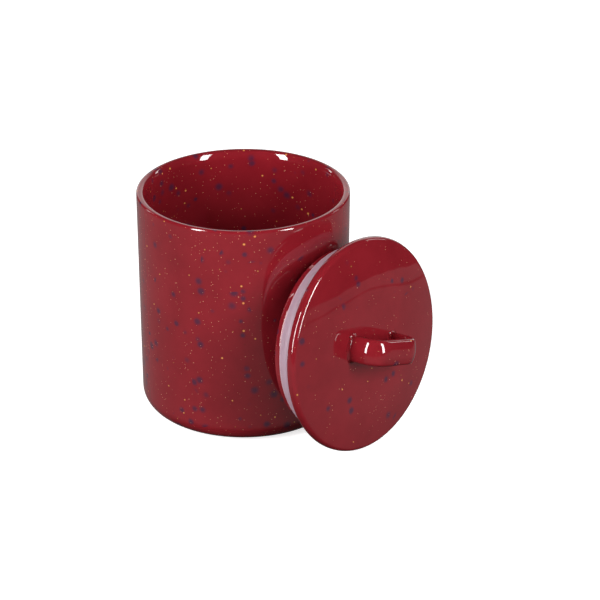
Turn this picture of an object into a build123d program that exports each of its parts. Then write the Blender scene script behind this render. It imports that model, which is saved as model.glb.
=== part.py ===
"""Glazed porcelain storage jar with a lift-off lid that leans against the jar's side.

Frame: the origin is the centre of the jar's foot, +Z is up, and the lid leans along +X.
Units: millimetres and degrees.
"""

import os
from math import cos, radians, sin

from build123d import *

# Jar: a slightly tapered wall that turns into the base on one large radius
jar_diameter = 100.0
jar_height = 109.0
wall_taper = 1.0
wall_thickness = 4.2
base_thickness = 5.0
outer_base_radius = 9.0
inner_base_radius = 9.0
outer_lip_share = 0.38
inner_lip_share = 0.57
inner_lip_roll = 8.0

# Foot: the unglazed ring that the jar stands on, round a shallow hollow
foot_ring_width = 4.5
foot_hollow_depth = 1.5

# Lid: a plate with a rounded edge and a gently raised middle
lid_overhang = 0.45
lid_thickness = 4.8
lid_edge_share = 0.46
lid_rise = 4.0
lid_flat_margin = 3.8

# Collar: the ring under the plate that drops into the jar's mouth
collar_gap = 2.8
collar_depth = 13.75
collar_wall = 4.5
collar_end_radius = 1.8
collar_root_radius = 3.0

# Seal: a silicone band in a groove round the collar
seal_width = 7.7
seal_setback = 1.8
seal_groove_depth = 1.3
seal_squeeze = 0.3
seal_edge_drop = 2.2
seal_edge_radius = 0.8
seal_clearance = 0.05

# Handle: a strap loop, rounded on its outer face, that stands on the raised middle of the lid
handle_span = 34.0
handle_height = 17.3
handle_width = 12.0
handle_thickness = 4.8
handle_crown = 1.3
handle_bend_radius = 4.8
handle_edge_radius = 1.2
handle_foot_flare = 1.2
handle_flare_trim = 0.1
handle_turn = -20.0

# Pose: the lid stands on its edge and its collar rests against the jar
lid_lean = 6.35
lid_aside = 2.35
lean_gap = 0.2

jar_radius = jar_diameter / 2
base_radius = jar_radius - wall_taper
mouth_radius = jar_radius - wall_thickness
lid_radius = jar_radius + lid_overhang
flat_radius = handle_span / 2 + handle_foot_flare + lid_flat_margin
collar_radius = mouth_radius - collar_gap
groove_radius = collar_radius - seal_groove_depth
seal_top = -seal_setback
seal_bottom = seal_top - seal_width
outer_lip_radius = outer_lip_share * wall_thickness
inner_lip_radius = inner_lip_share * wall_thickness
lid_edge_radius = lid_edge_share * lid_thickness

# The lid's own plane is the underside of its plate, with X level, Y up the plate and Z out of its face
lean_cos = cos(radians(lid_lean))
lean_sin = sin(radians(lid_lean))
collar_reach = (collar_depth - collar_end_radius) * lean_cos + collar_end_radius
collar_reach += (collar_radius - collar_end_radius) * lean_sin
lid_centre_z = (lid_radius - lid_edge_radius) * lean_cos - lid_edge_radius * lean_sin + lid_edge_radius
contact_height = lid_centre_z + (collar_radius - collar_end_radius) * lean_cos
contact_radius = base_radius + wall_taper * contact_height / jar_height
lid_centre_x = contact_radius + lean_gap + collar_reach
lid_plane = Plane(
    origin=(lid_centre_x, lid_aside, lid_centre_z),
    x_dir=(0, 1, 0),
    z_dir=(lean_cos, 0, lean_sin),
)
lid_axis = Axis(lid_plane.origin, lid_plane.z_dir)
lid_section = Plane(lid_plane.origin, x_dir=lid_plane.x_dir, z_dir=-lid_plane.y_dir)
strap_direction = lid_plane.x_dir.rotate(lid_axis, handle_turn)
handle_plane = Plane(lid_plane.origin, x_dir=strap_direction, z_dir=strap_direction.cross(lid_plane.z_dir))

os.makedirs("parts", exist_ok=True)


# Jar: one thrown and fired body
with BuildPart() as jar:
    with BuildSketch(Plane.XZ) as jar_profile:
        foot_outer = base_radius - outer_base_radius
        foot_inner = foot_outer - foot_ring_width
        with BuildLine():
            lip = EllipticalCenterArc(
                (mouth_radius + inner_lip_radius, jar_height - inner_lip_roll),
                inner_lip_radius,
                inner_lip_roll,
                start_angle=90,
                arc_size=90,
            )
            Polyline(
                lip @ 1,
                (mouth_radius, base_thickness),
                (0, base_thickness),
                (0, foot_hollow_depth),
                (foot_inner - foot_hollow_depth, foot_hollow_depth),
                (foot_inner, 0),
                (base_radius, 0),
                (jar_radius, jar_height),
                lip @ 0,
            )
        make_face()
        fillet(jar_profile.vertices().group_by(Axis.Y)[0].sort_by(Axis.X)[-1], outer_base_radius)
        inner_wall = jar_profile.vertices().filter_by_position(Axis.X, mouth_radius - 0.01, mouth_radius + 0.01)
        fillet(inner_wall.sort_by(Axis.Y)[0], inner_base_radius)
        fillet(jar_profile.vertices().group_by(Axis.Y)[-1].sort_by(Axis.X)[-1], outer_lip_radius)
    revolve(axis=Axis.Z)
jar.part.label = "jar"
export_step(jar.part, "parts/jar.step")


# Lid: plate, raised middle and collar in one casting, with the groove for the seal
with BuildPart() as lid:
    with BuildSketch(lid_section) as lid_profile:
        collar_bore = collar_radius - collar_wall
        with BuildLine():
            crown = Line((0, lid_thickness + lid_rise), (flat_radius, lid_thickness + lid_rise))
            shoulder = TangentArc(crown @ 1, (lid_radius, lid_thickness), tangent=(1, 0))
            Polyline(
                shoulder @ 1,
                (lid_radius, 0),
                (collar_radius, 0),
                (collar_radius, -collar_depth),
                (collar_bore, -collar_depth),
                (collar_bore, lid_rise),
                (0, lid_rise),
                crown @ 0,
            )
        make_face()
        fillet(lid_profile.vertices().group_by(Axis.X)[-1], lid_edge_radius)
        fillet(lid_profile.vertices().group_by(Axis.Y)[0], collar_end_radius)
        inner_side = lid_profile.vertices().filter_by_position(Axis.X, collar_bore - 0.01, collar_bore + 0.01)
        fillet(inner_side.sort_by(Axis.Y)[-1], collar_root_radius)
    revolve(axis=lid_axis)
    with BuildSketch(lid_section):
        with Locations((groove_radius, seal_bottom)):
            Rectangle(2 * seal_groove_depth, seal_width, align=(Align.MIN, Align.MIN))
    revolve(axis=lid_axis, mode=Mode.SUBTRACT)
lid.part.label = "lid"
export_step(lid.part, "parts/lid.step")


# Seal: its crown is a little wider than the jar's mouth, and it slopes in towards the collar's end
with BuildPart() as seal_ring:
    with BuildSketch(lid_section) as seal_profile:
        seal_inner = groove_radius + seal_clearance
        seal_crown = mouth_radius + seal_squeeze
        seal_upper = seal_top - seal_clearance
        seal_lower = seal_bottom + seal_clearance
        with BuildLine():
            bulge = ThreePointArc(
                (seal_crown - seal_edge_drop / 2, seal_upper),
                (seal_crown, seal_upper - seal_width / 3),
                (seal_crown - seal_edge_drop, seal_lower),
            )
            Polyline(bulge @ 1, (seal_inner, seal_lower), (seal_inner, seal_upper), bulge @ 0)
        make_face()
        seal_edges = seal_profile.vertices().sort_by(Axis.X)[-2:]
        fillet(seal_edges, seal_edge_radius)
    revolve(axis=lid_axis)
seal_ring.part.label = "seal_ring"
export_step(seal_ring.part, "parts/seal_ring.step")


# Handle: an arched strap cast by itself and luted on, so its feet flare where they meet the plate
with BuildPart() as lid_handle:
    foot_level = lid_thickness + lid_rise
    flare_level = foot_level - handle_flare_trim
    gap_half = handle_span / 2 - handle_thickness
    gap_top = foot_level + handle_height - handle_thickness
    with BuildLine(handle_plane) as strap_path:
        FilletPolyline(
            (-gap_half, flare_level),
            (-gap_half, gap_top),
            (gap_half, gap_top),
            (gap_half, flare_level),
            radius=handle_bend_radius,
        )
    strap_foot = Plane(strap_path.line @ 0, x_dir=-strap_direction, z_dir=lid_plane.z_dir)
    with BuildSketch(strap_foot) as strap_section:
        side_thickness = handle_thickness - handle_crown
        with BuildLine():
            outer_face = ThreePointArc(
                (side_thickness, -handle_width / 2),
                (handle_thickness, 0),
                (side_thickness, handle_width / 2),
            )
            Polyline(outer_face @ 1, (0, handle_width / 2), (0, -handle_width / 2), outer_face @ 0)
        make_face()
        fillet(strap_section.vertices(), handle_edge_radius)
    sweep()
    with BuildSketch(lid_plane.offset(flare_level)):
        Circle(flat_radius)
    extrude(amount=-handle_thickness)
    plate_face = lid_handle.faces().filter_by(lid_axis).sort_by(lid_axis)[1]
    fillet([e for wire in plate_face.inner_wires() for e in wire.edges()], handle_foot_flare)
    split(bisect_by=lid_plane.offset(foot_level), keep=Keep.TOP)
lid_handle.part.label = "lid_handle"
export_step(lid_handle.part, "parts/lid_handle.step")
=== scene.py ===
"""Dresses a packed storage jar: speckled red glaze on the jar, lid and handle, silicone on the seal.

Every size is in metres in the row frame: the jar stands on the origin and its lid leans along +X.
"""

import math

import bmesh
import bpy
from bpy.props import FloatProperty, FloatVectorProperty, PointerProperty
from bpy.types import NodeSocket, Operator, Panel, PropertyGroup
from mathutils import Matrix, Vector


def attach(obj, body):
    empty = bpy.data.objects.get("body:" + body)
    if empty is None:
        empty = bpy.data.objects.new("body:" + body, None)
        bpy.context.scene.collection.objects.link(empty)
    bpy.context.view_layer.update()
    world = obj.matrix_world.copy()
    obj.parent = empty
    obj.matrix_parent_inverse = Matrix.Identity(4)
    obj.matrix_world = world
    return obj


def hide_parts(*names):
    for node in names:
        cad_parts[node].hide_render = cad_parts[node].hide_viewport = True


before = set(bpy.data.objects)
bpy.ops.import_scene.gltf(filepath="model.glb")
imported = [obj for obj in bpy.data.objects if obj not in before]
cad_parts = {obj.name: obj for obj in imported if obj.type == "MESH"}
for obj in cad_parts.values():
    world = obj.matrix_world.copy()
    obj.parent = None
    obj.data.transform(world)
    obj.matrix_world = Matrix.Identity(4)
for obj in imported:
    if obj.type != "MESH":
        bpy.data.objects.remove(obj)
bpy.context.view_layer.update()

bl_info = {
    "name": "Glazed Storage Jar",
    "version": (1, 0, 0),
    "blender": (4, 5, 0),
    "location": "View3D > Sidebar > Storage Jar",
    "description": "Builds a glazed jar with its leaning lid, strap handle and silicone seal",
    "category": "Object",
}

MM = 0.001
PICTURE_SIDE = 600


def linear(code):
    """The linear colour of an sRGB hex code."""
    parts = [int(code[i : i + 2], 16) / 255 for i in (1, 3, 5)]
    return tuple(p / 12.92 if p <= 0.04045 else ((p + 0.055) / 1.055) ** 2.4 for p in parts)


def length(name, millimetres, description):
    """A size in metres, shown as a length."""
    return FloatProperty(
        name=name,
        description=description,
        default=millimetres * MM,
        unit="LENGTH",
        subtype="DISTANCE",
        precision=4,
    )


def angle(name, degrees, description):
    """A turn in radians, shown as an angle."""
    return FloatProperty(
        name=name,
        description=description,
        default=math.radians(degrees),
        unit="ROTATION",
        subtype="ANGLE",
    )


def colour(name, code, description):
    """A colour given as an sRGB hex code."""
    return FloatVectorProperty(
        name=name, description=description, default=linear(code), size=3, min=0, max=1, subtype="COLOR"
    )


class JarSizes(PropertyGroup):
    """Sizes of the jar's body."""

    diameter: length("Diameter", 100.0, "Outside width at the rim")
    height: length("Height", 109.0, "From the foot to the top of the lip")
    taper: length("Taper", 1.0, "How much narrower the radius is at the foot")
    wall: length("Wall", 4.2, "Thickness of the wall")
    base: length("Base", 5.0, "Height of the inside floor")
    base_turn: length("Base turn", 9.0, "Radius where the wall turns into the base")
    outer_lip: length("Outer lip", 1.2, "Radius of the lip's outer edge")
    lip_dip: length("Lip dip", 0.4, "How far the top of the lip falls towards its inner edge")
    inner_lip: length("Inner lip", 0.8, "Radius of the lip's inner edge")
    lip_flare: length("Lip flare", 1.3, "How far the wall opens out below the inner edge")
    lip_roll: length("Lip roll", 4.0, "Height over which the wall opens out")
    foot_width: length("Foot ring", 4.5, "Width of the unglazed ring")
    foot_hollow: length("Foot hollow", 1.5, "Depth of the hollow inside the ring")


class LidSizes(PropertyGroup):
    """Sizes of the lid's plate and collar, and the way it leans."""

    overhang: length("Overhang", 0.45, "How far the plate's edge passes the jar's side")
    thickness: length("Thickness", 4.8, "Thickness of the plate at its edge")
    edge: length("Edge", 2.208, "Radius of the plate's rounded edge")
    rise: length("Rise", 4.0, "How far the middle stands above the edge")
    flat: length("Flat", 14.0, "Radius of the flat middle under the handle")
    collar_gap: length("Collar gap", 2.8, "Gap between the collar and the jar's mouth")
    collar_depth: length("Collar depth", 13.75, "Depth of the collar below the plate")
    collar_wall: length("Collar wall", 4.5, "Thickness of the collar")
    collar_end: length("Collar end", 1.8, "Radius of the collar's end")
    collar_root: length("Collar root", 3.0, "Radius inside the collar's root")
    lean: angle("Lean", 6.35, "Tilt of the plate against the jar")
    aside: length("Aside", 2.35, "How far the lid stands to one side")
    lean_gap: length("Lean gap", 0.2, "Gap left between the collar and the jar's side")


class SealSizes(PropertyGroup):
    """Sizes of the silicone band."""

    width: length("Width", 7.7, "Width of the groove that holds the band")
    setback: length("Setback", 1.8, "From the plate to the groove")
    groove: length("Groove", 1.3, "Depth of the groove")
    squeeze: length("Squeeze", 0.3, "How much wider than the mouth its crown is")
    drop: length("Edge drop", 2.2, "How far the outer face falls towards the collar's end")
    edge: length("Edge", 0.8, "Radius of its outer edges")
    play: length("Play", 0.05, "Gap between the band and its groove")


class HandleSizes(PropertyGroup):
    """Sizes of the strap loop."""

    span: length("Span", 34.0, "Width over both feet")
    height: length("Height", 17.3, "From the plate to the top of the loop")
    width: length("Width", 12.0, "Width of the strap")
    thickness: length("Thickness", 4.8, "Thickness of the strap at its middle")
    crown: length("Crown", 1.3, "How far the outer face swells")
    bend: length("Bend", 4.8, "Radius inside the bends")
    edge: length("Edge", 1.2, "Radius of the strap's edges")
    flare: length("Flare", 1.2, "How far the feet spread on the plate")
    sink: length("Sink", 0.4, "How far the feet go into the curved plate")
    turn: angle("Turn", -17.0, "Turn of the strap from level")


class FinishColours(PropertyGroup):
    """Colours and grain of the materials."""

    red: colour("Red", "#831b24", "Glaze where it lies thick")
    deep_red: colour("Deep red", "#7a1720", "Glaze where it has run thin")
    blue: colour("Blue", "#34203a", "Soft cobalt spots")
    gold: colour("Gold", "#e2934f", "Iron spots")
    ring: colour("Ring", "#4f1a14", "Halo round an iron spot")
    pale: colour("Pale", "#d99a78", "Fine ash specks")
    clay: colour("Bare clay", "#d9cec0", "Unglazed porcelain of the foot")
    silicone: colour("Silicone", "#b59aa8", "Frosted silicone of the seal")
    # Painted glow: a lighter colour painted on the seal's two edges, standing in for light that comes
    # through them
    painted_glow_colour: colour("Painted edge glow", "#e6bcc4", "Seal's thin edges, where light comes through")
    blue_cell: length("Blue spacing", 6.5, "Mean distance of cobalt spots")
    gold_cell: length("Gold spacing", 4.6, "Mean distance of iron spots")
    pale_cell: length("Pale spacing", 1.65, "Mean distance of ash specks")
    lid_specks: FloatProperty(
        name="Lid specks",
        description="Share of the jar's specks that the lid and its handle have",
        default=0.5,
        min=0,
        max=1,
        subtype="FACTOR",
    )


class StageSizes(PropertyGroup):
    """Camera, floor and lights."""

    azimuth: angle("Azimuth", 40.9, "Turn of the camera round the jar")
    aside: length("Camera aside", 26.78, "Camera's place to the right of the jar")
    back: length("Camera back", 1201.84, "Camera's distance along the floor")
    height: length("Camera height", 623.57, "Camera's height")
    pitch: angle("Pitch", 25.467, "Downward tilt of the camera")
    lens: FloatProperty(
        name="Lens", description="Focal length", default=167.817, unit="CAMERA", subtype="NONE"
    )
    floor: length("Floor", 4000.0, "Side of the floor")
    paper: colour("Floor colour", "#d8d7d6", "Pale matt floor")


class StorageJarSettings(PropertyGroup):
    """All settings of the scene."""

    jar: PointerProperty(type=JarSizes)
    lid: PointerProperty(type=LidSizes)
    seal: PointerProperty(type=SealSizes)
    handle: PointerProperty(type=HandleSizes)
    finish: PointerProperty(type=FinishColours)
    stage: PointerProperty(type=StageSizes)


def add(tree, kind, inputs=None, **settings):
    """Adds a node, sets its properties and fills its inputs with values or links."""
    node = tree.nodes.new(kind)
    for name, value in settings.items():
        setattr(node, name, value)
    for socket, value in (inputs or {}).items():
        if isinstance(value, NodeSocket):
            tree.links.new(value, node.inputs[socket])
        else:
            node.inputs[socket].default_value = value
    return node


def spots(tree, place, cell, radius, share, softness):
    """Strength of round spots set at random in the glaze, each of its own size up to a radius."""
    smallest = 0.45 * radius
    cells = add(tree, "ShaderNodeTexVoronoi", {"Vector": place, "Scale": 1 / cell})
    chance = add(tree, "ShaderNodeSeparateColor", {"Color": cells.outputs["Color"]})
    size = add(
        tree,
        "ShaderNodeMapRange",
        {"Value": chance.outputs["Green"], "To Min": smallest / cell, "To Max": radius / cell},
    )
    core = add(tree, "ShaderNodeMath", {0: size.outputs[0], 1: 1 - softness}, operation="MULTIPLY")
    spot = add(
        tree,
        "ShaderNodeMapRange",
        {
            "Value": cells.outputs["Distance"],
            "From Min": core.outputs[0],
            "From Max": size.outputs[0],
            "To Min": 1.0,
            "To Max": 0.0,
        },
        interpolation_type="SMOOTHSTEP",
    )
    there = add(tree, "ShaderNodeMath", {0: chance.outputs["Red"], 1: share}, operation="LESS_THAN")
    held = add(tree, "ShaderNodeMath", {0: spot.outputs[0], 1: there.outputs[0]}, operation="MULTIPLY")
    return held.outputs[0]


def glazed_porcelain(finish, name="glazed_porcelain", specks=1.0):
    """Glossy deep-red glaze, clouded, with soft cobalt spots, iron spots in dark halos and fine ash specks.

    The foot ring that stood in the kiln is bare, matt clay. The number of specks is a share of the jar's.
    """
    drift_grain, drift_reach = 1.6 * MM, 0.3 * MM
    cloud_grain, patch_grain = 17 * MM, 30 * MM
    wave_grain, wave_height = 14 * MM, 0.25 * MM
    glaze_roughness, clay_roughness = 0.03, 0.75

    material = bpy.data.materials.get(name)
    if material:
        return material
    material = bpy.data.materials.new(name)
    material.use_nodes = True
    tree = material.node_tree
    shader = tree.nodes["Principled BSDF"]
    place = add(tree, "ShaderNodeTexCoord").outputs["Object"]

    # The firing pulls each spot a little out of round
    drift = add(tree, "ShaderNodeTexNoise", {"Vector": place, "Scale": 1 / drift_grain, "Detail": 1.0})
    pulled = add(
        tree,
        "ShaderNodeVectorMath",
        {0: drift.outputs["Color"], 1: (drift_reach,) * 3, 2: place},
        operation="MULTIPLY_ADD",
    ).outputs[0]

    # Clouds of thicker and thinner glaze
    cloud = add(
        tree,
        "ShaderNodeTexNoise",
        {"Vector": place, "Scale": 1 / cloud_grain, "Detail": 4.0, "Roughness": 0.6},
    )
    cloud_share = add(
        tree, "ShaderNodeMapRange", {"Value": cloud.outputs["Fac"], "From Min": 0.35, "From Max": 0.65}
    )
    body = add(
        tree,
        "ShaderNodeMix",
        {"Factor": cloud_share.outputs[0], 6: (*finish.deep_red, 1), 7: (*finish.red, 1)},
        data_type="RGBA",
    )

    # Cobalt spots gather in some places and leave others bare
    patch = add(tree, "ShaderNodeTexNoise", {"Vector": place, "Scale": 1 / patch_grain, "Detail": 1.0})
    gathered = add(
        tree,
        "ShaderNodeMapRange",
        {
            "Value": patch.outputs["Fac"],
            "From Min": 0.35,
            "From Max": 0.6,
            "To Min": 0.1 * specks,
            "To Max": 0.9 * specks,
        },
    ).outputs[0]

    # Each layer has its colour, spacing, largest radius, share of places taken, soft share and strength
    layers = (
        (finish.blue, finish.blue_cell, 3.0 * MM, gathered, 0.75, 0.75),
        (finish.ring, finish.gold_cell, 1.0 * MM, 0.4 * specks, 0.6, 0.6),
        (finish.gold, finish.gold_cell, 0.72 * MM, 0.4 * specks, 0.55, 0.95),
        (finish.pale, finish.pale_cell, 0.24 * MM, 0.85 * specks, 0.35, 0.85),
    )
    glaze = body.outputs[2]
    for tint, cell, radius, share, softness, strength in layers:
        spot = spots(tree, pulled, cell, radius, share, softness)
        held = add(tree, "ShaderNodeMath", {0: spot, 1: strength}, operation="MULTIPLY")
        layer = {"Factor": held.outputs[0], 6: glaze, 7: (*tint, 1)}
        glaze = add(tree, "ShaderNodeMix", layer, data_type="RGBA").outputs[2]

    # Bare clay where the piece carries the mark
    bare = add(tree, "ShaderNodeAttribute", attribute_name="bare_clay").outputs["Fac"]
    coat = {"Factor": bare, 6: glaze, 7: (*finish.clay, 1)}
    skin = add(tree, "ShaderNodeMix", coat, data_type="RGBA")
    tree.links.new(skin.outputs[2], shader.inputs["Base Color"])
    gloss = add(
        tree, "ShaderNodeMapRange", {"Value": bare, "To Min": glaze_roughness, "To Max": clay_roughness}
    )
    tree.links.new(gloss.outputs[0], shader.inputs["Roughness"])
    shader.inputs["IOR"].default_value = 1.58

    # The melt leaves slow waves in the surface
    wave = add(tree, "ShaderNodeTexNoise", {"Vector": place, "Scale": 1 / wave_grain, "Detail": 1.0})
    bump = add(
        tree,
        "ShaderNodeBump",
        {"Height": wave.outputs["Fac"], "Strength": 0.35, "Distance": wave_height},
    )
    tree.links.new(bump.outputs["Normal"], shader.inputs["Normal"])
    return material


def lid_glaze(finish):
    """The glaze of the lid and its handle, which has fewer specks than the jar's."""
    return glazed_porcelain(finish, "glazed_porcelain_lid", finish.lid_specks)


def frosted_silicone(finish):
    """Milky silicone: light goes a little way in, the skin is matt and slightly uneven, and a painted glow
    lightens its two edges.
    """
    haze_grain, skin_grain, skin_height = 6 * MM, 0.5 * MM, 0.05 * MM
    haze_shade = 0.85

    material = bpy.data.materials.new("frosted_silicone")
    material.use_nodes = True
    tree = material.node_tree
    shader = tree.nodes["Principled BSDF"]
    place = add(tree, "ShaderNodeTexCoord").outputs["Object"]
    haze = add(tree, "ShaderNodeTexNoise", {"Vector": place, "Scale": 1 / haze_grain, "Detail": 3.0})
    dim = tuple(haze_shade * c for c in finish.silicone)
    milk = add(
        tree,
        "ShaderNodeMix",
        {"Factor": haze.outputs["Fac"], 6: (*dim, 1), 7: (*finish.silicone, 1)},
        data_type="RGBA",
    )
    # Painted glow: near the band's two edges the colour is lifted towards a lighter one, standing in for
    # light that comes through
    thin = add(tree, "ShaderNodeAttribute", attribute_name="painted_edge_glow").outputs["Fac"]
    glow = add(
        tree,
        "ShaderNodeMix",
        {"Factor": thin, 6: milk.outputs[2], 7: (*finish.painted_glow_colour, 1)},
        data_type="RGBA",
    )
    tree.links.new(glow.outputs[2], shader.inputs["Base Color"])
    skin = add(tree, "ShaderNodeTexNoise", {"Vector": place, "Scale": 1 / skin_grain, "Detail": 2.0})
    rough = add(
        tree, "ShaderNodeMapRange", {"Value": skin.outputs["Fac"], "To Min": 0.35, "To Max": 0.55}
    )
    tree.links.new(rough.outputs[0], shader.inputs["Roughness"])
    bump = add(
        tree,
        "ShaderNodeBump",
        {"Height": skin.outputs["Fac"], "Strength": 0.2, "Distance": skin_height},
    )
    tree.links.new(bump.outputs["Normal"], shader.inputs["Normal"])
    shader.inputs["IOR"].default_value = 1.41
    shader.inputs["Subsurface Weight"].default_value = 0.35
    shader.inputs["Subsurface Radius"].default_value = (1.0, 0.8, 0.8)
    shader.inputs["Subsurface Scale"].default_value = 1.5 * MM
    return material


def rounded(corners, steps=10):
    """The points of a profile whose corners, each (radius, height, fillet), are turned into arcs."""
    points = []
    for number, (x, y, fillet) in enumerate(corners):
        here = Vector((x, y))
        if not fillet:
            points.append(here)
            continue
        before = (Vector(corners[number - 1][:2]) - here).normalized()
        after = (Vector(corners[number + 1][:2]) - here).normalized()
        half = before.angle(after) / 2
        centre = here + (before + after).normalized() * fillet / math.sin(half)
        start = here + before * fillet / math.tan(half) - centre
        end = here + after * fillet / math.tan(half) - centre
        first = math.atan2(start.y, start.x)
        sweep = (math.atan2(end.y, end.x) - first + math.pi) % (2 * math.pi) - math.pi
        for step in range(steps + 1):
            turn = first + sweep * step / steps
            points.append(centre + fillet * Vector((math.cos(turn), math.sin(turn))))
    return points


def spaced(points, longest):
    """The same profile with its long straight runs cut into shorter ones, so that shading stays even."""
    result = [points[0]]
    for point in points[1:]:
        start = result[-1]
        pieces = max(1, math.ceil((point - start).length / longest))
        result += [start.lerp(point, (n + 1) / pieces) for n in range(pieces)]
    return result


def bow(reach, offset, steps):
    """Points of an arc that leaves a line smoothly and ends at an offset from it.

    Each point is its distance along the line and its distance off it.
    """
    radius = (reach**2 + offset**2) / (2 * offset)
    turns = [math.asin(reach / radius) * n / steps for n in range(steps + 1)]
    return [(radius * math.sin(turn), radius * (1 - math.cos(turn))) for turn in turns]


def turned(name, profile, place, closed=False, turns=192):
    """An object made by turning a profile of (radius, height) points round the Z axis of a place."""
    on_axis = 0.001 * MM
    angles = [2 * math.pi * (n + 0.5) / turns for n in range(turns)]
    shape = bmesh.new()
    rings = []
    for radius, height in profile:
        ring = [(radius * math.cos(t), radius * math.sin(t), height) for t in angles]
        if radius < on_axis:
            ring = [(0, 0, height)]
        rings.append([shape.verts.new(place @ Vector(point)) for point in ring])
    pairs = list(zip(rings, rings[1:]))
    if closed:
        pairs.append((rings[-1], rings[0]))
    for lower, upper in pairs:
        for n in range(turns):
            loop = []
            for ring, number in ((lower, n), (lower, n + 1), (upper, n + 1), (upper, n)):
                vert = ring[number % len(ring)]
                if vert not in loop:
                    loop.append(vert)
            shape.faces.new(loop)
    bmesh.ops.recalc_face_normals(shape, faces=shape.faces)
    for face in shape.faces:
        face.smooth = True
    return finished(name, shape)


def finished(name, shape):
    """A linked object that holds a bmesh, which is freed."""
    mesh = bpy.data.meshes.new(name)
    shape.to_mesh(mesh)
    shape.free()
    piece = bpy.data.objects.new(name, mesh)
    bpy.context.scene.collection.objects.link(piece)
    return piece


def lid_place(sizes):
    """Where the lid stands, leaning its collar against the jar.

    Its own plane is the underside of the plate, with Y up the plate and Z out of its face.
    """
    jar, lid = sizes.jar, sizes.lid
    radius = jar.diameter / 2 + lid.overhang
    collar = jar.diameter / 2 - jar.wall - lid.collar_gap
    cos, sin = math.cos(lid.lean), math.sin(lid.lean)
    reach = (lid.collar_depth - lid.collar_end) * cos + lid.collar_end + (collar - lid.collar_end) * sin
    height = (radius - lid.edge) * cos - lid.edge * sin + lid.edge
    touch = height + (collar - lid.collar_end) * cos
    side = jar.diameter / 2 - jar.taper * (1 - touch / jar.height)
    place = Matrix(((0, -sin, cos), (1, 0, 0), (0, cos, sin))).to_4x4()
    place.translation = (side + lid.lean_gap + reach, lid.aside, height)
    return place


class STORAGE_JAR_OT_make_jar(Operator):
    """Turns the jar's body and marks the bare clay of its foot"""

    bl_idname = "storage_jar.make_jar"
    bl_label = "Make Jar"

    def execute(self, context):
        sizes = context.scene.storage_jar
        jar = sizes.jar
        radius = jar.diameter / 2
        mouth = radius - jar.wall
        foot_outer = radius - jar.taper - jar.base_turn
        foot_inner = foot_outer - jar.foot_width
        hollow_round, foot_round = 1.2 * MM, 0.6 * MM

        # The lip's top falls in an arc to its inner edge, and a second arc rolls from there into the wall
        lip_start = radius - 1.1 * jar.outer_lip
        lip_end = mouth + jar.lip_flare
        lip_edge = jar.height - jar.lip_dip
        roll_foot = lip_edge - jar.lip_roll
        fall = bow(lip_start - lip_end, jar.lip_dip, 4)
        roll = bow(jar.lip_roll, jar.lip_flare, 8)
        corners = (
            (0, jar.foot_hollow, 0),
            (foot_inner - jar.foot_hollow, jar.foot_hollow, hollow_round),
            (foot_inner, 0, foot_round),
            (radius - jar.taper, 0, jar.base_turn),
            (radius, jar.height, jar.outer_lip),
            *((lip_start - along, jar.height - off, 0) for along, off in fall[:-1]),
            (lip_end, lip_edge, jar.inner_lip),
            *((mouth + off, roll_foot + along, 0) for along, off in reversed(roll[:-1])),
            (mouth, jar.base, jar.base_turn),
            (0, jar.base, 0),
        )
        piece = turned("glazed_jar", spaced(rounded(corners, 14), 2.5 * MM), Matrix.Identity(4))

        # The glaze is wiped off the ring, and a little way up its two rounded sides
        wiped_inside, wiped_outside, wiped_height = 0.7 * MM, 1.6 * MM, 0.25 * MM
        bare = piece.data.attributes.new("bare_clay", "FLOAT", "POINT")
        for vert, mark in zip(piece.data.vertices, bare.data):
            on_ring = foot_inner - wiped_inside < vert.co.xy.length < foot_outer + wiped_outside
            mark.value = 1.0 if on_ring and vert.co.z < wiped_height else 0.0
        piece.data.materials.append(glazed_porcelain(sizes.finish))
        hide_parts("jar")
        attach(piece, "jar")
        return {"FINISHED"}


class STORAGE_JAR_OT_make_lid(Operator):
    """Turns the lid's plate, its raised middle and its grooved collar"""

    bl_idname = "storage_jar.make_lid"
    bl_label = "Make Lid"

    def execute(self, context):
        sizes = context.scene.storage_jar
        jar, lid, seal = sizes.jar, sizes.lid, sizes.seal
        radius = jar.diameter / 2 + lid.overhang
        collar = jar.diameter / 2 - jar.wall - lid.collar_gap
        bore = collar - lid.collar_wall
        floor = collar - seal.groove
        top = lid.thickness + lid.rise
        groove_top = -seal.setback
        groove_bottom = groove_top - seal.width
        corner = 0.6 * MM

        # The shoulder is one arc, which leaves the flat middle smoothly
        steps = 40
        run = radius - lid.flat
        sweep = (run * run + lid.rise * lid.rise) / (2 * lid.rise)
        shoulder = []
        for step in range(steps + 1):
            out = (run - lid.edge) * step / steps
            shoulder.append((lid.flat + out, top - sweep + math.sqrt(sweep**2 - out**2), 0))
        corners = (
            (0, top, 0),
            *shoulder,
            (radius, lid.thickness, lid.edge),
            (radius, 0, lid.edge),
            (collar, 0, corner),
            (collar, groove_top, 0),
            (floor, groove_top, 0),
            (floor, groove_bottom, 0),
            (collar, groove_bottom, 0),
            (collar, -lid.collar_depth, lid.collar_end),
            (bore, -lid.collar_depth, lid.collar_end),
            (bore, lid.rise, lid.collar_root),
            (0, lid.rise, 0),
        )
        piece = turned("glazed_lid", spaced(rounded(corners), 2.0 * MM), lid_place(sizes))
        piece.data.materials.append(lid_glaze(sizes.finish))
        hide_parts("lid")
        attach(piece, "lid")
        return {"FINISHED"}


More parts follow.
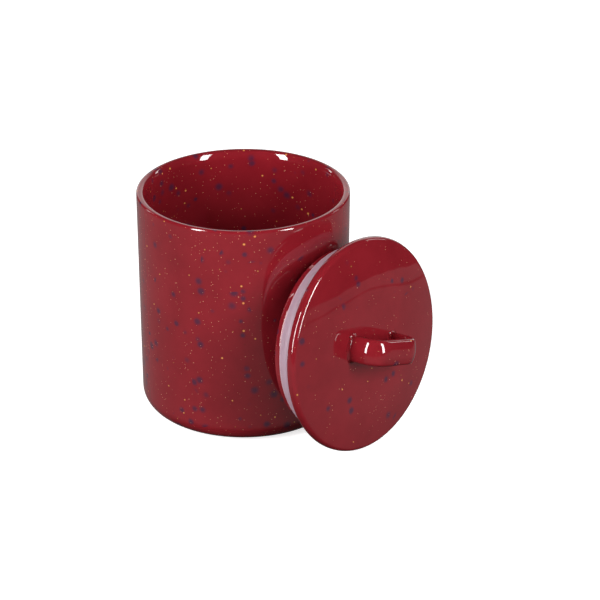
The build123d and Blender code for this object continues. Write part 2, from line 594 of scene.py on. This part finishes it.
class STORAGE_JAR_OT_make_seal(Operator):
    """Turns the silicone band in the collar's groove"""

    bl_idname = "storage_jar.make_seal"
    bl_label = "Make Seal"

    def execute(self, context):
        sizes = context.scene.storage_jar
        jar, lid, seal = sizes.jar, sizes.lid, sizes.seal
        inner = jar.diameter / 2 - jar.wall - lid.collar_gap - seal.groove + seal.play
        crown = jar.diameter / 2 - jar.wall + seal.squeeze
        crown_round = 2.5 * seal.edge
        top = -seal.setback - seal.play
        bottom = -seal.setback - seal.width + seal.play
        corners = (
            (inner, top, 0),
            (crown - seal.drop / 2, top, seal.edge),
            (crown, top - seal.width / 3, crown_round),
            (crown - seal.drop, bottom, seal.edge),
            (inner, bottom, 0),
        )
        place = lid_place(sizes)
        piece = turned("silicone_seal", spaced(rounded(corners), 0.6 * MM), place, closed=True)

        # Painted glow: the band's two edges are marked to be painted lighter, standing in for light that
        # comes through them
        lit_edges = 1.5
        thin = piece.data.attributes.new("painted_edge_glow", "FLOAT", "POINT")
        to_plate = place.inverted()
        for vert, mark in zip(piece.data.vertices, thin.data):
            height = (to_plate @ vert.co).z
            inset = min(top - height, height - bottom) / seal.edge
            mark.value = max(0.0, 1.0 - inset / lit_edges)
        piece.data.materials.append(frosted_silicone(sizes.finish))
        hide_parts("seal_ring")
        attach(piece, "lid")
        return {"FINISHED"}


def strap_tree():
    """Geometry nodes that sweep a strap with a swelling outer face along a bent path and flare its feet."""
    bend_steps, path_step = 24, 0.3 * MM
    edge_steps, section_step = 8, 0.4 * MM

    tree = bpy.data.node_groups.new("strap along a path", "GeometryNodeTree")
    face = tree.interface
    face.new_socket("Path", in_out="INPUT", socket_type="NodeSocketGeometry")
    for name in ("Width", "Thickness", "Crown", "Bend", "Edge", "Flare"):
        face.new_socket(name, in_out="INPUT", socket_type="NodeSocketFloat")
    face.new_socket("Material", in_out="INPUT", socket_type="NodeSocketMaterial")
    face.new_socket("Strap", in_out="OUTPUT", socket_type="NodeSocketGeometry")
    given = add(tree, "NodeGroupInput").outputs
    width, thick, flare = given["Width"], given["Thickness"], given["Flare"]

    # The path: straight legs and two bends, measured along the middle of the strap
    bent = add(
        tree,
        "GeometryNodeFilletCurve",
        {"Curve": given["Path"], "Count": bend_steps, "Radius": given["Bend"], "Limit Radius": True},
        mode="POLY",
    )
    path = add(
        tree, "GeometryNodeResampleCurve", {"Curve": bent.outputs[0], "Length": path_step}, mode="LENGTH"
    )
    upright = add(tree, "GeometryNodeSetCurveNormal", {"Curve": path.outputs[0]}, mode="Z_UP")

    # The section: a rounded bar
    bar = add(
        tree,
        "GeometryNodeCurvePrimitiveQuadrilateral",
        {"Width": thick, "Height": width},
        mode="RECTANGLE",
    )
    eased = add(
        tree,
        "GeometryNodeFilletCurve",
        {"Curve": bar.outputs[0], "Count": edge_steps, "Radius": given["Edge"]},
        mode="POLY",
    )
    section = add(
        tree,
        "GeometryNodeResampleCurve",
        {"Curve": eased.outputs[0], "Length": section_step},
        mode="LENGTH",
    )

    # Its outer side falls away by the crown times the square of twice the share across the strap
    point = add(tree, "GeometryNodeInputPosition").outputs[0]
    spot = add(tree, "ShaderNodeSeparateXYZ", {0: point}).outputs
    across = add(tree, "ShaderNodeMath", {0: spot["Y"], 1: width}, operation="DIVIDE").outputs[0]
    square = add(tree, "ShaderNodeMath", {0: across, 1: across}, operation="MULTIPLY").outputs[0]
    outward = add(tree, "ShaderNodeMath", {0: spot["X"], 1: thick}, operation="DIVIDE").outputs[0]
    share = add(tree, "ShaderNodeMath", {0: 0.5, 1: outward}, operation="SUBTRACT").outputs[0]
    drop = add(tree, "ShaderNodeMath", {0: square, 1: 4.0}, operation="MULTIPLY").outputs[0]
    drop = add(tree, "ShaderNodeMath", {0: drop, 1: given["Crown"]}, operation="MULTIPLY").outputs[0]
    drop = add(tree, "ShaderNodeMath", {0: drop, 1: share}, operation="MULTIPLY").outputs[0]
    shift = add(tree, "ShaderNodeCombineXYZ", {"X": drop}).outputs[0]
    swelled = add(tree, "GeometryNodeSetPosition", {"Geometry": section.outputs[0], "Offset": shift})
    swept = add(
        tree,
        "GeometryNodeCurveToMesh",
        {"Curve": upright.outputs[0], "Profile Curve": swelled.outputs[0], "Fill Caps": True},
    )

    # The feet: near the plate the skin spreads on a quarter circle
    point = add(tree, "GeometryNodeInputPosition").outputs[0]
    level = add(tree, "ShaderNodeSeparateXYZ", {0: point}).outputs["Y"]
    over = add(tree, "ShaderNodeMath", {0: flare, 1: level}, operation="SUBTRACT").outputs[0]
    over = add(tree, "ShaderNodeMath", {0: over, 1: 0.0}, operation="MAXIMUM").outputs[0]
    over = add(tree, "ShaderNodeMath", {0: over, 1: over}, operation="MULTIPLY").outputs[0]
    whole = add(tree, "ShaderNodeMath", {0: flare, 1: flare}, operation="MULTIPLY").outputs[0]
    left = add(tree, "ShaderNodeMath", {0: whole, 1: over}, operation="SUBTRACT").outputs[0]
    left = add(tree, "ShaderNodeMath", {0: left, 1: 0.0}, operation="MAXIMUM").outputs[0]
    root = add(tree, "ShaderNodeMath", {0: left}, operation="SQRT").outputs[0]
    spread = add(tree, "ShaderNodeMath", {0: flare, 1: root}, operation="SUBTRACT").outputs[0]
    normal = add(tree, "GeometryNodeInputNormal").outputs[0]
    skin = add(tree, "ShaderNodeSeparateXYZ", {0: normal}).outputs
    sideways = add(tree, "ShaderNodeCombineXYZ", {"X": skin["X"], "Z": skin["Z"]}).outputs[0]
    push = add(tree, "ShaderNodeVectorMath", {0: sideways, "Scale": spread}, operation="SCALE").outputs[0]
    footed = add(tree, "GeometryNodeSetPosition", {"Geometry": swept.outputs[0], "Offset": push})
    smooth = add(tree, "GeometryNodeSetShadeSmooth", {"Geometry": footed.outputs[0]})
    real = add(tree, "GeometryNodeRealizeInstances", {"Geometry": smooth.outputs[0]}).outputs[0]
    clad = add(tree, "GeometryNodeSetMaterial", {"Geometry": real, "Material": given["Material"]})
    add(tree, "NodeGroupOutput", {"Strap": clad.outputs[0]})
    return tree


class STORAGE_JAR_OT_make_handle(Operator):
    """Sweeps the strap loop that stands on the lid"""

    bl_idname = "storage_jar.make_handle"
    bl_label = "Make Handle"

    def execute(self, context):
        sizes = context.scene.storage_jar
        lid, handle = sizes.lid, sizes.handle
        half = (handle.span - handle.thickness) / 2
        foot, top = -handle.sink, handle.height - handle.thickness / 2
        corners = ((-half, foot), (-half, top), (half, top), (half, foot))
        line = bpy.data.curves.new("strap path", "CURVE")
        line.dimensions = "3D"
        spline = line.splines.new("POLY")
        spline.points.add(len(corners) - 1)
        for point, corner in zip(spline.points, corners):
            point.co = (*corner, 0, 1)
        path = bpy.data.objects.new("strap path", line)
        context.scene.collection.objects.link(path)
        tree = strap_tree()
        sweep = path.modifiers.new("strap", "NODES")
        sweep.node_group = tree
        values = {
            "Width": handle.width,
            "Thickness": handle.thickness,
            "Crown": handle.crown,
            "Bend": handle.bend + handle.thickness / 2,
            "Edge": handle.edge,
            "Flare": handle.flare,
            "Material": lid_glaze(sizes.finish),
        }
        for socket in tree.interface.items_tree:
            if socket.name in values:
                sweep[socket.identifier] = values[socket.name]
        context.view_layer.update()
        mesh = bpy.data.meshes.new_from_object(path.evaluated_get(context.evaluated_depsgraph_get()))
        if not mesh.polygons:
            raise RuntimeError("the strap came out empty")
        bpy.data.objects.remove(path)
        stand = Matrix(((1, 0, 0), (0, 0, -1), (0, 1, 0))).to_4x4()
        stand.translation = (0, 0, lid.thickness + lid.rise)
        mesh.transform(lid_place(sizes) @ Matrix.Rotation(handle.turn, 4, "Z") @ stand)
        mesh.name = "glazed_handle"
        piece = bpy.data.objects.new("glazed_handle", mesh)
        context.scene.collection.objects.link(piece)
        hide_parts("lid_handle")
        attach(piece, "lid")
        return {"FINISHED"}


def around(stage, swing, rise, distance):
    """A point seen from the jar: its swing from the camera's side, its rise over the floor, its distance.

    The swing, to the right, and the rise are in degrees.
    """
    turn = stage.azimuth - math.pi / 2 + math.radians(swing)
    climb = math.radians(rise)
    flat = distance * math.cos(climb)
    return Vector((flat * math.cos(turn), flat * math.sin(turn), distance * math.sin(climb)))


def greys(ramp, *marks):
    """Fills a colour ramp with greys, each given as its position and its value, in rising order."""
    elements = ramp.color_ramp.elements
    for number, (position, grey) in enumerate(marks):
        mark = elements[number] if number < 2 else elements.new(position)
        mark.position = position
        mark.color = (grey, grey, grey, 1)


def lay_floor(stage):
    """Lays matt paper just under the jar's foot, which glows a little so that it stays white.

    It neither lights the glaze nor shows in it.
    """
    clearance = 0.02 * MM
    shape = bmesh.new()
    bmesh.ops.create_grid(shape, x_segments=1, y_segments=1, size=stage.floor / 2)
    floor = finished("floor", shape)
    floor.location.z = -clearance
    paper = bpy.data.materials.new("matt_paper")
    paper.use_nodes = True
    sheet = paper.node_tree.nodes["Principled BSDF"].inputs
    sheet["Base Color"].default_value = (*stage.paper, 1)
    sheet["Roughness"].default_value = 0.9
    sheet["Specular IOR Level"].default_value = 0.1
    sheet["Emission Color"].default_value = (1, 1, 1, 1)
    sheet["Emission Strength"].default_value = 0.75
    floor.data.materials.append(paper)
    floor.visible_glossy = False
    floor.visible_diffuse = False


def hang_lamps(stage):
    """Hangs two tall softboxes beside the camera, two narrow ones behind, and two fills.

    Each has its swing and rise in degrees, its distance, width and height in metres, its power in watts,
    and whether the glaze mirrors it.
    """
    lamps = (
        ("left softbox", -48, 26, 0.8, 0.14, 0.55, 6.8, True),
        ("right softbox", 48, 26, 0.8, 0.14, 0.55, 5.6, True),
        ("left rim light", -118, 24, 1.5, 0.12, 0.5, 1.2, True),
        ("right rim light", 118, 24, 1.5, 0.12, 0.5, 1.2, True),
        ("overhead fill", 180, 75, 2.2, 1.6, 1.6, 2.6, False),
        ("back fill", 180, 24, 1.4, 0.8, 0.8, 6.0, False),
    )
    for name, swing, rise, distance, width, height, power, mirrored in lamps:
        data = bpy.data.lights.new(name, "AREA")
        data.shape = "RECTANGLE"
        data.size, data.size_y, data.energy = width, height, power
        lamp = bpy.data.objects.new(name, data)
        lamp.location = around(stage, swing, rise, distance)
        lamp.rotation_euler = (-lamp.location).to_track_quat("-Z", "Y").to_euler()
        lamp.visible_glossy = mirrored
        bpy.context.scene.collection.objects.link(lamp)


def studio_room(stage):
    """The room that the glaze mirrors, which is dark, with a grey table and pale panels behind the jar.

    Ways out of the jar are unit vectors, so how far one goes up, back or aside is a share of one.
    """
    table_grey, line_grey, room_grey = 0.25, 0.1, 0.03
    middle_grey, panel_grey = 1.0, 1.3
    table_swing, table_slant, table_near = 148, 0.23, 0.3

    world = bpy.data.worlds.new("studio")
    world.use_nodes = True
    tree = world.node_tree
    way = add(tree, "ShaderNodeTexCoord").outputs["Generated"]
    up = add(tree, "ShaderNodeSeparateXYZ", {0: way}).outputs["Z"]

    # The table ends in a slanting edge with a thin dark line before it, and is darker close to the jar
    far = around(stage, table_swing, 0, 1)
    edge = add(tree, "ShaderNodeVectorMath", {0: way, 1: far}, operation="DOT_PRODUCT").outputs["Value"]
    near = add(tree, "ShaderNodeMath", {0: edge, 1: table_near}, operation="MAXIMUM").outputs[0]
    slanted = {0: near, 1: table_slant, 2: up}
    level = add(tree, "ShaderNodeMath", slanted, operation="MULTIPLY_ADD").outputs[0]
    height = add(tree, "ShaderNodeMapRange", {"Value": level, "From Min": -0.1, "From Max": 0.1}).outputs[0]
    table = add(tree, "ShaderNodeValToRGB", {"Fac": height})
    greys(
        table,
        (0.23, table_grey),
        (0.245, line_grey),
        (0.275, line_grey),
        (0.29, table_grey),
        (0.49, table_grey),
        (0.51, 0.0),
    )
    shade = add(
        tree,
        "ShaderNodeMapRange",
        {"Value": up, "From Min": -0.8, "From Max": -0.43, "To Min": 0.1},
    ).outputs[0]
    ground = add(tree, "ShaderNodeMath", {0: table.outputs[0], 1: shade}, operation="MULTIPLY").outputs[0]

    # The panels stand behind the jar, from a little below level to a soft upper edge
    right = around(stage, 90, 0, 1)
    aside = add(tree, "ShaderNodeVectorMath", {0: way, 1: right}, operation="DOT_PRODUCT").outputs["Value"]
    reach = add(tree, "ShaderNodeMath", {0: aside}, operation="ABSOLUTE").outputs[0]
    panels = add(tree, "ShaderNodeValToRGB", {"Fac": reach})
    greys(panels, (0.0, middle_grey), (0.3, panel_grey), (0.44, panel_grey), (0.56, room_grey))
    behind = around(stage, 180, 0, 1)
    depth = add(tree, "ShaderNodeVectorMath", {0: way, 1: behind}, operation="DOT_PRODUCT").outputs["Value"]
    back = add(tree, "ShaderNodeMath", {0: depth, 1: 0.2}, operation="GREATER_THAN").outputs[0]
    over = add(tree, "ShaderNodeMath", {0: up, 1: -0.14}, operation="GREATER_THAN").outputs[0]
    under = add(
        tree,
        "ShaderNodeMapRange",
        {"Value": up, "From Min": 0.46, "From Max": 0.6, "To Min": 1.0, "To Max": 0.0},
    ).outputs[0]
    where = add(tree, "ShaderNodeMath", {0: back, 1: over}, operation="MULTIPLY").outputs[0]
    where = add(tree, "ShaderNodeMath", {0: where, 1: under}, operation="MULTIPLY").outputs[0]
    lit = add(tree, "ShaderNodeMath", {0: panels.outputs[0], 1: where}, operation="MULTIPLY").outputs[0]

    room = add(tree, "ShaderNodeMath", {0: ground, 1: lit}, operation="ADD").outputs[0]
    dim = add(tree, "ShaderNodeMath", {0: room, 1: room_grey}, operation="MAXIMUM").outputs[0]
    tree.links.new(dim, tree.nodes["Background"].inputs["Color"])
    return world


def place_camera(stage):
    """The camera, which looks down at the jar. Its picture is shifted by half a pixel each way."""
    half_pixel = 0.5 / PICTURE_SIDE
    data = bpy.data.cameras.new("camera")
    data.lens = stage.lens
    data.sensor_width = 36
    data.shift_x, data.shift_y = -half_pixel, half_pixel
    data.clip_start, data.clip_end = 0.05, 20
    camera = bpy.data.objects.new("camera", data)
    stand = Vector((stage.aside, -stage.back, stage.height))
    camera.location = Matrix.Rotation(stage.azimuth, 3, "Z") @ stand
    camera.rotation_euler = (math.pi / 2 - stage.pitch, 0, stage.azimuth)
    bpy.context.scene.collection.objects.link(camera)
    return camera


class STORAGE_JAR_OT_set_stage(Operator):
    """Sets the floor, the studio lights, the surroundings and the camera"""

    bl_idname = "storage_jar.set_stage"
    bl_label = "Set Stage"

    def execute(self, context):
        scene = context.scene
        stage = scene.storage_jar.stage
        lay_floor(stage)
        hang_lamps(stage)
        scene.world = studio_room(stage)
        scene.camera = place_camera(stage)
        scene.view_settings.view_transform = "Standard"
        return {"FINISHED"}


class STORAGE_JAR_PT_panel(Panel):
    """Lists the steps that build the jar"""

    bl_label = "Storage Jar"
    bl_idname = "STORAGE_JAR_PT_panel"
    bl_space_type = "VIEW_3D"
    bl_region_type = "UI"
    bl_category = "Storage Jar"

    def draw(self, context):
        for step in STEPS:
            self.layout.operator(step.bl_idname)


STEPS = (
    STORAGE_JAR_OT_make_jar,
    STORAGE_JAR_OT_make_lid,
    STORAGE_JAR_OT_make_seal,
    STORAGE_JAR_OT_make_handle,
    STORAGE_JAR_OT_set_stage,
)
CLASSES = (
    JarSizes,
    LidSizes,
    SealSizes,
    HandleSizes,
    FinishColours,
    StageSizes,
    StorageJarSettings,
    *STEPS,
    STORAGE_JAR_PT_panel,
)


def register():
    for item in CLASSES:
        bpy.utils.register_class(item)
    bpy.types.Scene.storage_jar = PointerProperty(type=StorageJarSettings)


def unregister():
    del bpy.types.Scene.storage_jar
    for item in reversed(CLASSES):
        bpy.utils.unregister_class(item)


def main():
    """Builds every piece and the stage."""
    register()
    bpy.ops.storage_jar.make_jar()
    bpy.ops.storage_jar.make_lid()
    bpy.ops.storage_jar.make_seal()
    bpy.ops.storage_jar.make_handle()
    bpy.ops.storage_jar.set_stage()


if __name__ == "__main__":
    main()
